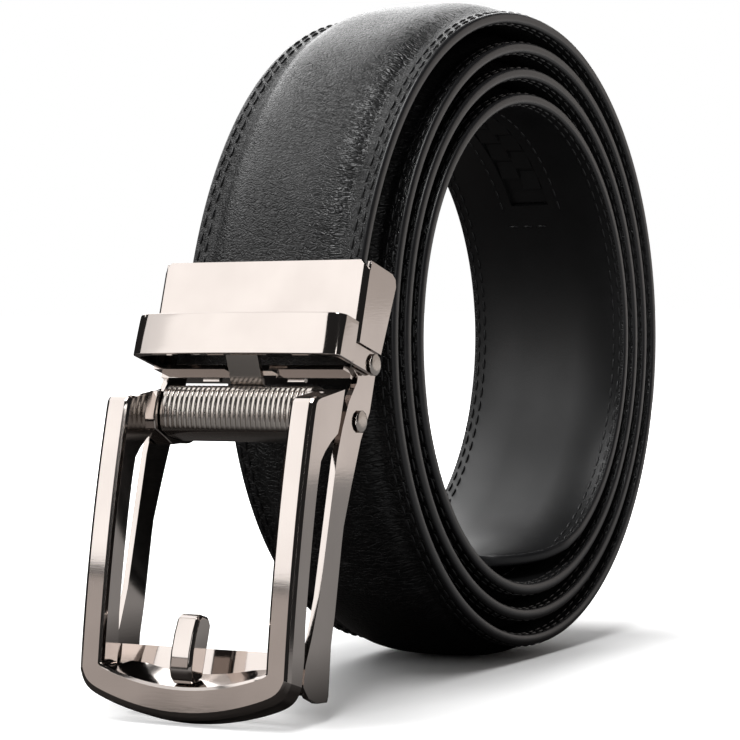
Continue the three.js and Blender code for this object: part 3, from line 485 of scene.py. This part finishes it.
bm = bmesh.new()
for side in (-1, 1):
    for row, shift in SEAM_ROWS:
        stitches(bm, side * row, SEAM_START + shift, SEAM_END, LINING_HEIGHT)
    stitches(bm, side * 6.5, WINDOW_START - 4, WINDOW_END + 4, LINING_HEIGHT)
for line in (WINDOW_START - 4.3, WINDOW_END + 4.3):
    stitches(bm, line, -5.0, 6.5, LINING_HEIGHT, across=True)
roll(bm)
lining_seams = piece("seams_on_lining", bm, "belt", [THREAD], smooth=180)

# %% [markdown]
# ## The track
# The track's teeth are right as they are packed, so the node stays and only gets its nylon.

# %% Nylon on the track
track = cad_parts["ratchet_track"]
track.data.materials.clear()
track.data.materials.append(NYLON)
print("track", len(track.data.polygons), "triangles")

# %% [markdown]
# ## Pressed and cast metal parts
# A polished casting has no knife edges: each is broken by a tenth or two of a millimetre, and that
# narrow band is what catches the light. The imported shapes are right, so a copy of each is merged,
# its flat faces are made whole again, and its edges are bevelled.

# %% Edge-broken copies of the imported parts
def buckle_point(x, back, down):
    y, z = buckle_side(back, down)
    return Vector((x, y, z)) * MM


def broken_edges(node, body, material, width, smooth=30):
    """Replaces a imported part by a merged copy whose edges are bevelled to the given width."""
    bm = bmesh.new()
    bm.from_mesh(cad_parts[node].data)
    bmesh.ops.remove_doubles(bm, verts=bm.verts, dist=0.001 * MM)
    bmesh.ops.dissolve_limit(bm, angle_limit=math.radians(0.6), verts=bm.verts, edges=bm.edges)
    sharp = [e for e in bm.edges if len(e.link_faces) == 2 and e.calc_face_angle() > math.radians(24)]
    bmesh.ops.bevel(bm, geom=sharp, offset=width * MM, offset_type="OFFSET", affect="EDGES", segments=2,
                    profile=0.5, material=-1, clamp_overlap=True)
    for face in bm.faces:
        face.material_index = 0
    made = piece(f"{node}_finished", bm, body, [material], smooth=smooth)
    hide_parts(node)
    return made


broken_edges("clamp_box", "belt", GUNMETAL, 0.16)
broken_edges("base_frame", "belt", GUNMETAL, 0.14)
broken_edges("prong", "frame", GUNMETAL, 0.14)
broken_edges("clamp_jaw", "jaw", STEEL, 0.08)
broken_edges("pawl", "frame", STEEL, 0.12)
for word in ("upper_left", "upper_right", "lower_left", "lower_right"):
    broken_edges(f"rivet_{word}", "belt", STEEL, 0.08, smooth=50)

# %% [markdown]
# ## The keeper bar
# The bar in front of the clamp is polished until its front bulges a little and its ends roll round into
# the side plates, more at the top than at the bottom. Its level section is drawn at thirteen heights and
# pulled down from one to the next. The side plates then reach back to the upper rivets.

# %% Section of the keeper bar
KEEPER_TOP, KEEPER_BOTTOM, KEEPER_FRONT = 11.1, 18.5, -6.3
KEEPER_FLAT, KEEPER_HALF, BULGE, END_DROP = 17.2, 20.8, 0.35, 1.35
SLOT_SIDE = [(20.0, -0.3), (20.0, -4.0), (19.2, -4.6), (17.2, -5.1), (1.2, -5.4)]


def keeper_section(down):
    """The bar's level section as (x, back) points: the right half's outside, then its inside."""
    share = (down - KEEPER_TOP) / (KEEPER_BOTTOM - KEEPER_TOP)
    rim = 0.22 * (1 - math.sqrt(max(0, 1 - max(0, abs(share - 0.5) / 0.5 - 0.94) ** 2 / 0.0036)))
    lean_back = 0.55 * (1 - share) ** 2
    half = []
    for x in np.linspace(1.2, KEEPER_FLAT, 9):
        half.append((x, KEEPER_FRONT + rim + BULGE * (x / KEEPER_FLAT) ** 2))
    for k in range(1, 9):
        turn = math.radians(90 * k / 8)
        x = KEEPER_FLAT + (KEEPER_HALF - KEEPER_FLAT - rim) * math.sin(turn)
        half.append((x, KEEPER_FRONT + rim + BULGE + (END_DROP + lean_back) * (1 - math.cos(turn))))
    half += [(KEEPER_HALF - rim, -1.0), (KEEPER_HALF - rim, -0.3)] + SLOT_SIDE
    return half + [(-x, back) for x, back in reversed(half)]


# %% Keeper bar
bm = bmesh.new()
heights = [KEEPER_TOP + (KEEPER_BOTTOM - KEEPER_TOP) * s
           for s in (0, 0.007, 0.018, 0.03, 0.12, 0.26, 0.42, 0.6, 0.8, 0.97, 0.982, 0.993, 1)]
ring = [bm.verts.new(buckle_point(x, back, heights[0])) for x, back in keeper_section(heights[0])]
face = bm.faces.new(ring)
for down in heights[1:]:
    pulled = bmesh.ops.extrude_face_region(bm, geom=[face])["geom"]
    bmesh.ops.delete(bm, geom=[face], context="FACES_ONLY")
    face = [g for g in pulled if isinstance(g, bmesh.types.BMFace)][0]
    for loop, (x, back) in zip(face.loops, keeper_section(down)):
        loop.vert.co = buckle_point(x, back, down)
bm.faces.new(ring)
bmesh.ops.recalc_face_normals(bm, faces=bm.faces)
keeper_bar = piece("keeper_bar", bm, "belt", [GUNMETAL], smooth=34)
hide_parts("keeper_loop")

# %% [markdown]
# ## The keeper's side plates
# Each plate lies against the clamp's lower edge.

# %% Keeper's side plates
TAIL = [(-1.0, 14.8), (7.1, 14.8), (8.1, 15.5), (8.6, 16.2), (8.7, 16.8), (8.5, 17.5), (8.0, 18.1),
        (7.2, 18.5), (-1.0, 18.5)]
PLATE_IN, PLATE_OUT = 20.0, 20.78


def side_plate(outline, x0, x1, edge):
    """A plate with the given side outline, from x0 to x1, with its edges broken."""
    bm = bmesh.new()
    face = bm.faces.new([bm.verts.new(buckle_point(x0, back, down)) for back, down in outline])
    pulled = bmesh.ops.extrude_face_region(bm, geom=[face])["geom"]
    moved = [g for g in pulled if isinstance(g, bmesh.types.BMVert)]
    bmesh.ops.translate(bm, verts=moved, vec=((x1 - x0) * MM, 0, 0))
    bmesh.ops.recalc_face_normals(bm, faces=bm.faces)
    sharp = [e for e in bm.edges if e.calc_face_angle(0) > math.radians(30)]
    bmesh.ops.bevel(bm, geom=sharp, offset=edge * MM, offset_type="OFFSET", affect="EDGES", segments=2,
                    profile=0.5, material=-1, clamp_overlap=True)
    return bm


for word, x0, x1 in (("left", -PLATE_OUT, -PLATE_IN), ("right", PLATE_IN, PLATE_OUT)):
    made = piece(f"keeper_plate_{word}", side_plate(TAIL, x0, x1, 0.14), "belt", [GUNMETAL])
    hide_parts("keeper_loop")

# %% [markdown]
# ## The frame
# The frame is one polished casting: two bowed rails joined by a curved foot, with cheeks that turn on
# the lower rivets. Its section is laid at the ear of one rail and pulled round to the other,
# station by station, which keeps long clean highlights along the rails.

# %% Section of the frame
FRAME_TOP, FRAME_LENGTH, FRAME_HALF, WINDOW_HALF = 23.4, 80.7, 20.8, 16.0
FRAME_DEPTH, FOOT_WIDTH = 4.3, 5.6
WINDOW_FOOT = FRAME_LENGTH - FOOT_WIDTH
EAR_ROWS = ((0, 0.06, 0.13, 0.18, 0.23, 0.31, 1), (1, 1, 1, 0.42, 0.05, 0, 0))
TOP_ROWS = ((0, 0.06, 0.13, 1), (1, 0.3, 0, 0))
FACE_ROWS = ((0, 0.9), (0.06, 0.3), (0.16, 0), (0.8, 0), (0.92, 0.25), (1, 0.9))
FOOT_OUTER = [1.0, 0.998, 0.995, 0.988, 0.98, 0.965, 0.95, 0.925, 0.89, 0.85, 0.8, 0.74, 0.67, 0.6, 0.52,
              0.44, 0.36, 0.27, 0.18, 0.09, 0.0]


def frame_face(down):
    """How far back the frame's front lies at a height: the rails bow forwards in the middle."""
    t = min(max((down - FRAME_TOP) / (FRAME_LENGTH - FRAME_TOP), 0), 1)
    return -10.9 + 6.6 * t - 1.4 * 4 * t * (1 - t)


def frame_station(inner, outer, top, ear, scoop):
    """The corners of the frame's section between a point of the window and one of the outside."""
    back = frame_face((inner[1] + outer[1]) / 2) + FRAME_DEPTH
    back += (-1.6 - back) * ear
    back += (-0.2 - back) * scoop
    corners = []
    for across, sunk in FACE_ROWS:
        down = inner[1] + (outer[1] - inner[1]) * across
        x = inner[0] + (outer[0] - inner[0]) * across
        corners.append(buckle_point(x, frame_face(down) + sunk + 1.5 * top ** 2, down + top * 3.4))
    corners.append(buckle_point(outer[0], back, outer[1]))
    corners.append(buckle_point(inner[0], back, inner[1] - scoop * 2.8))
    return corners


# %% Stations from the ear round to the foot
half_frame = []
for drop in np.linspace(0, 0.8, 25):
    y_in = FRAME_TOP + drop * (FRAME_LENGTH - FRAME_TOP)
    scoop = 0.15 * max(0, (drop - 0.7) / 0.1)
    half_frame.append(((WINDOW_HALF, y_in), (FRAME_HALF, y_in), np.interp(drop, *TOP_ROWS),
                       np.interp(drop, *EAR_ROWS), scoop))
for o in FOOT_OUTER:
    i = np.interp(o, (0, 0.32, 0.62, 0.82, 0.95, 0.995, 1), (0, 0.34, 0.66, 0.86, 0.97, 0.998, 1))
    scoop = np.interp(o, (0, 0.62, 0.82, 0.95, 0.995, 1.0), (1, 1, 0.8, 0.4, 0.12, 0.1))
    half_frame.append(((i * WINDOW_HALF, WINDOW_FOOT - 2.8 * i ** 2),
                       (o * FRAME_HALF, FRAME_LENGTH - 4.7 * o ** 2 - 2.4 * o ** 24), 0, 0, scoop))
whole_frame = half_frame + [((-a[0], a[1]), (-b[0], b[1]), t, e, s) for a, b, t, e, s in half_frame[-2::-1]]
print("frame stations", len(whole_frame))

# %% Pull the section round the frame
bm = bmesh.new()
ring = [bm.verts.new(corner) for corner in frame_station(*whole_frame[0])]
bm.faces.new(ring)
for station in whole_frame[1:]:
    edges = [bm.edges.get((a, b)) for a, b in zip(ring, ring[1:] + ring[:1])]
    pulled = bmesh.ops.extrude_edge_only(bm, edges=edges)["geom"]
    new = [g for g in pulled if isinstance(g, bmesh.types.BMVert)]
    matched = {edge.other_vert(vert): vert for vert in new for edge in vert.link_edges}
    ring = [matched[v] for v in ring]
    for vert, place in zip(ring, frame_station(*station)):
        vert.co = place
bm.faces.new(ring)
bmesh.ops.recalc_face_normals(bm, faces=bm.faces)
sharp = [e for e in bm.edges if e.calc_face_angle(0) > math.radians(14)]
bmesh.ops.bevel(bm, geom=sharp, offset=0.14 * MM, offset_type="OFFSET", affect="EDGES", segments=2,
                profile=0.5, material=-1, clamp_overlap=True)
frame_piece = piece("frame_rails", bm, "frame", [GUNMETAL], smooth=24)
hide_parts("buckle_frame")

# %% [markdown]
# ## The frame's cheeks
# Behind each rail a cheek reaches back to the pivot rivet. Its side outline is drawn once, given its
# thickness and set on each side.

# %% Cheeks
PIVOT_BACK, PIVOT_DOWN, CHEEK_RADIUS = 6.4, 26.8, 4.3
CHEEK_IN, CHEEK_OUT = 14.9, 18.3
cheek = [(-4.0, 24.4)]
for k in range(17):
    turn = math.radians(-90 + 180 * k / 16)
    cheek.append((PIVOT_BACK + CHEEK_RADIUS * math.cos(turn), PIVOT_DOWN + CHEEK_RADIUS * math.sin(turn)))
cheek += [(2.96, 32.3), (-3.0, 31.1), (-4.0, 28.8)]
for word, x0, x1 in (("left", -CHEEK_OUT, -CHEEK_IN), ("right", CHEEK_IN, CHEEK_OUT)):
    made = piece(f"frame_cheek_{word}", side_plate(cheek, x0, x1, 0.25), "frame", [GUNMETAL])
    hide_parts("buckle_frame")

# %% [markdown]
# ## The ribbed heel bar
# The bar between the cheeks is pressed with round upright ribs for the thumb, with a plain strip below.
# The side outline is pulled across in steps of an eighth of a rib, and the steps between two ribs are
# drawn in towards the bar's core, which leaves broad ribs with narrow grooves between them.

# %% Heel bar
RIB, HEEL_HALF, RIBS_HALF, RIBS_END = 1.0, 14.6, 14.1, 30.1
GROOVE = (0.04, 0.0, 0.02, 0.09, 0.22)
HEEL_SIDE = [(5.2, 22.4), (0.69, 22.4), (-0.7, 22.58), (-1.5, 22.9), (-2.1, 23.4), (-2.6, 24.2), (-2.9, 25.2),
             (-3.0, 26.4), (-2.95, 27.6), (-2.75, 28.5), (-2.5, 29.3), (-2.18, 30.0), (-1.9, 30.45),
             (-1.36, 30.94), (0.69, 31.3), (5.2, 31.0)]


def heel_bar():
    """The bar's side outline pulled across, with its grooves drawn in by the depths from a rib's crest."""
    bm = bmesh.new()
    x = -HEEL_HALF
    ring = [bm.verts.new(buckle_point(x, back, down)) for back, down in HEEL_SIDE]
    face = bm.faces.new(ring)
    while x < HEEL_HALF - 1e-6:
        step = RIB / 8
        x += step
        pulled = bmesh.ops.extrude_face_region(bm, geom=[face])["geom"]
        moved = [g for g in pulled if isinstance(g, bmesh.types.BMVert)]
        bmesh.ops.delete(bm, geom=[face], context="FACES_ONLY")
        face = [g for g in pulled if isinstance(g, bmesh.types.BMFace)][0]
        bmesh.ops.translate(bm, verts=moved, vec=(step * MM, 0, 0))
    bmesh.ops.recalc_face_normals(bm, faces=bm.faces)
    core = Vector(buckle_point(0, 2.0, 26.8))
    for vert in bm.verts:
        x = vert.co.x / MM
        if abs(x) > RIBS_HALF:
            continue
        down = (CLAMP_Z - vert.co.z / MM) * math.cos(LEAN) - (vert.co.y / MM - CLAMP_Y) * math.sin(LEAN)
        if down > RIBS_END:
            continue
        crest = abs(x / RIB - round(x / RIB))
        inward = Vector((vert.co.x, core.y, core.z)) - vert.co
        vert.co += inward.normalized() * MM * GROOVE[round(crest * 8)]
    return bm


heel = piece("heel_bar_ribbed", heel_bar(), "frame", [STEEL], smooth=60)
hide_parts("heel_bar")

# %% [markdown]
# ## The floor
# The photograph has a white floor without a horizon, as on a light table. The shadow under the belt is
# painted: the sheet is dark where the belt stands, glows more with each millimetre away from it and is white
# further out, so that only a soft painted shadow shows. The camera alone sees it white: the leather and the
# plating mirror a floor painted dim, with two paler glowing patches on it, one to the right of the belt and
# one in front, which are painted reflections and no lamps.

# %% Floor
bm = bmesh.new()
bmesh.ops.create_grid(bm, x_segments=1, y_segments=1, size=6)
floor_mesh = bpy.data.meshes.new("floor")
bm.to_mesh(floor_mesh)
bm.free()
floor = bpy.data.objects.new("floor", floor_mesh)
bpy.context.scene.collection.objects.link(floor)
print("floor", floor.name)

# %% What the floor shows
FOOTPRINT = (17 * MM, 55 * MM, 0)
paper, tree, surface = start_material("white_floor_painted_shadow", Roughness=0.9)
surface.inputs["Specular IOR Level"].default_value = 0.0
place = add(tree, "ShaderNodeTexCoord").outputs["Object"]
far = add(tree, "ShaderNodeVectorMath", {0: place}, operation="LENGTH").outputs["Value"]
distant = add(tree, "ShaderNodeMapRange", {
    "Value": far, "From Min": 0.12, "From Max": 0.5, "To Min": 0.0, "To Max": 0.6},
    interpolation_type="SMOOTHSTEP").outputs[0]
side = add(tree, "ShaderNodeVectorMath", {0: place}, operation="ABSOLUTE").outputs[0]
side = add(tree, "ShaderNodeVectorMath", {0: side, 1: FOOTPRINT}, operation="SUBTRACT").outputs[0]
side = add(tree, "ShaderNodeVectorMath", {0: side, 1: (0, 0, 0)}, operation="MAXIMUM").outputs[0]
side = add(tree, "ShaderNodeVectorMath", {0: side}, operation="LENGTH").outputs["Value"]
# Painted shadow: the floor's glow is zero at the belt's footprint and rises to full 28 mm away from it.
glow = add(tree, "ShaderNodeMapRange", {
    "Value": side, "From Min": 0.0, "From Max": 0.028, "To Min": 0.0, "To Max": 0.55},
    interpolation_type="SMOOTHSTEP").outputs[0]
glow = add(tree, "ShaderNodeMath", {0: glow, 1: distant}, operation="ADD").outputs[0]
seen = add(tree, "ShaderNodeLightPath").outputs["Is Camera Ray"]
# Painted shade for mirrors: the camera sees the floor white, but the leather and plating mirror it dim.
white = add(tree, "ShaderNodeMix", {
    "Factor": seen, 6: hex_colour("#3C3A39"), 7: hex_colour("#F8F8F8")}, data_type="RGBA")
across = add(tree, "ShaderNodeSeparateXYZ", {"Vector": place})
# Painted reflections: two glowing patches, right of the belt and in front, seen only by mirrored and bounced
# rays.
painted_reflection_glow = add(tree, "ShaderNodeMapRange", {
    "Value": across.outputs["X"], "From Min": 0.025, "From Max": 0.07,
    "To Min": 0.0, "To Max": 0.38}).outputs[0]
front = add(tree, "ShaderNodeMapRange", {
    "Value": across.outputs["Y"], "From Min": -0.18, "From Max": -0.1,
    "To Min": 0.28, "To Max": 0.0}).outputs[0]
painted_reflection_glow = add(tree, "ShaderNodeMath", {0: painted_reflection_glow, 1: front}, operation="MAXIMUM").outputs[0]
glow = add(tree, "ShaderNodeMix", {"Factor": seen, "A": painted_reflection_glow, "B": glow}, data_type="FLOAT").outputs[0]
tree.links.new(white.outputs[2], surface.inputs["Base Color"])
surface.inputs["Emission Color"].default_value = (1, 1, 1, 1)
tree.links.new(glow, surface.inputs["Emission Strength"])
floor_mesh.materials.append(paper)

# %% [markdown]
# ## The lights
# A mirror shows the lamps themselves, so each lamp is given by the direction in which it is seen from the
# belt, its distance, its width and height, and how bright its sheet looks. The key lamp in front and to the
# left, with a wider rim round it, is what the clamp, the keeper and the rails mirror. Both end where the
# rails turn grey towards the foot, and a dimmer low lamp takes over there.

# %% Lights
MIDDLE = Vector((0, -0.03, 0.06))


def soft_light(name, side, height, distance, size, brightness, colour="#FFFFFF"):
    """A lamp seen from the belt at an angle to the side of straight ahead, and at a height, in degrees."""
    light = bpy.data.lights.new(name, "AREA")
    light.shape, light.size, light.size_y = "RECTANGLE", size[0], size[1]
    light.energy = brightness * math.pi * size[0] * size[1]
    light.color = hex_colour(colour)[:3]
    side, height = math.radians(side), math.radians(height)
    way = Vector((math.sin(side) * math.cos(height), -math.cos(side) * math.cos(height), math.sin(height)))
    lamp = bpy.data.objects.new(name, light)
    lamp.location = MIDDLE + way * distance
    lamp.rotation_euler = (-way).to_track_quat("-Z", "Y").to_euler()
    bpy.context.scene.collection.objects.link(lamp)
    return lamp


soft_light("key", -33.0, 28.0, 1.1, (0.34, 0.74), 0.7)
soft_light("key_rim", -41.0, 30.4, 1.15, (0.68, 0.86), 1.45)
soft_light("low_front", -34, 4.0, 1.2, (0.62, 0.2), 0.72, "#FFF6F1")
soft_light("front_right", 33.5, 17.0, 1.1, (0.14, 0.5), 3.2)
soft_light("overhead_strip", 26, 73, 0.9, (0.15, 0.75), 14.0)
soft_light("left_sky", -98, 48, 1.0, (0.9, 0.8), 2.2)
soft_light("back_left", -150, 22, 1.1, (0.8, 0.7), 4.0)
soft_light("right_back", 148, 11, 0.55, (0.5, 0.36), 0.72, "#FFF6F0")

world = bpy.data.worlds.new("room")
bpy.context.scene.world = world
world.use_nodes = True
room = world.node_tree
room.nodes.clear()
seen = add(room, "ShaderNodeLightPath").outputs["Is Camera Ray"]
shade = add(room, "ShaderNodeMix", {
    "Factor": seen, 6: hex_colour("#303030"), 7: (1, 1, 1, 1)}, data_type="RGBA")
glow = add(room, "ShaderNodeBackground", {"Color": shade.outputs[2], "Strength": 1.0})
add(room, "ShaderNodeOutputWorld", {"Surface": glow.outputs[0]})
bpy.context.scene.view_settings.view_transform = "Standard"
print("lamps", len(bpy.data.lights))
